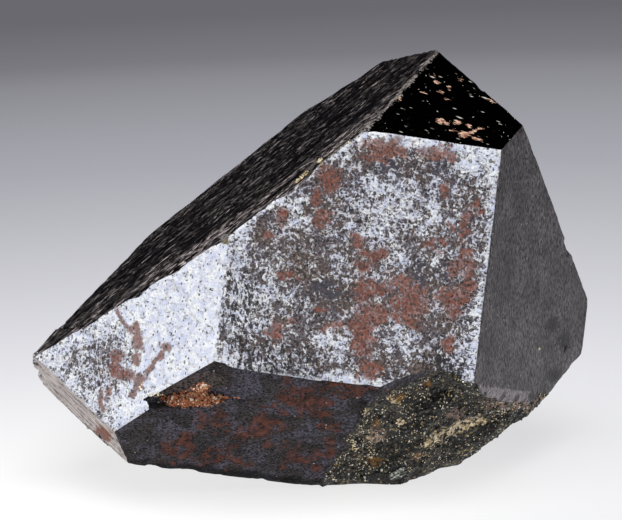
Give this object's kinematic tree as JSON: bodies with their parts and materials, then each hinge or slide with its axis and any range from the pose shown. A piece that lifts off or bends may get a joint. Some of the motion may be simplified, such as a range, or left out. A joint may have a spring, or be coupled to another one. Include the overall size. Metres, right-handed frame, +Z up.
{
  "type": "uraninite crystal",
  "caption": "Loose uraninite crystal: a cube and octahedron grown together, with flat faces, a growth ledge and a rough broken contact at its foot.",
  "frame": {"origin": "middle of the bounding box's bottom face, on the flat cut of the contact crust", "axes": "+Z up as the crystal stands, -Y towards the large patina-covered face, +X to its right, along the longest extent"},
  "size_m": [0.024, 0.0234, 0.0179],
  "materials": {
    "uraninite": null
  },
  "bodies": {
    "root": {"uraninite_crystal": "uraninite"}
  },
  "joints": []
}
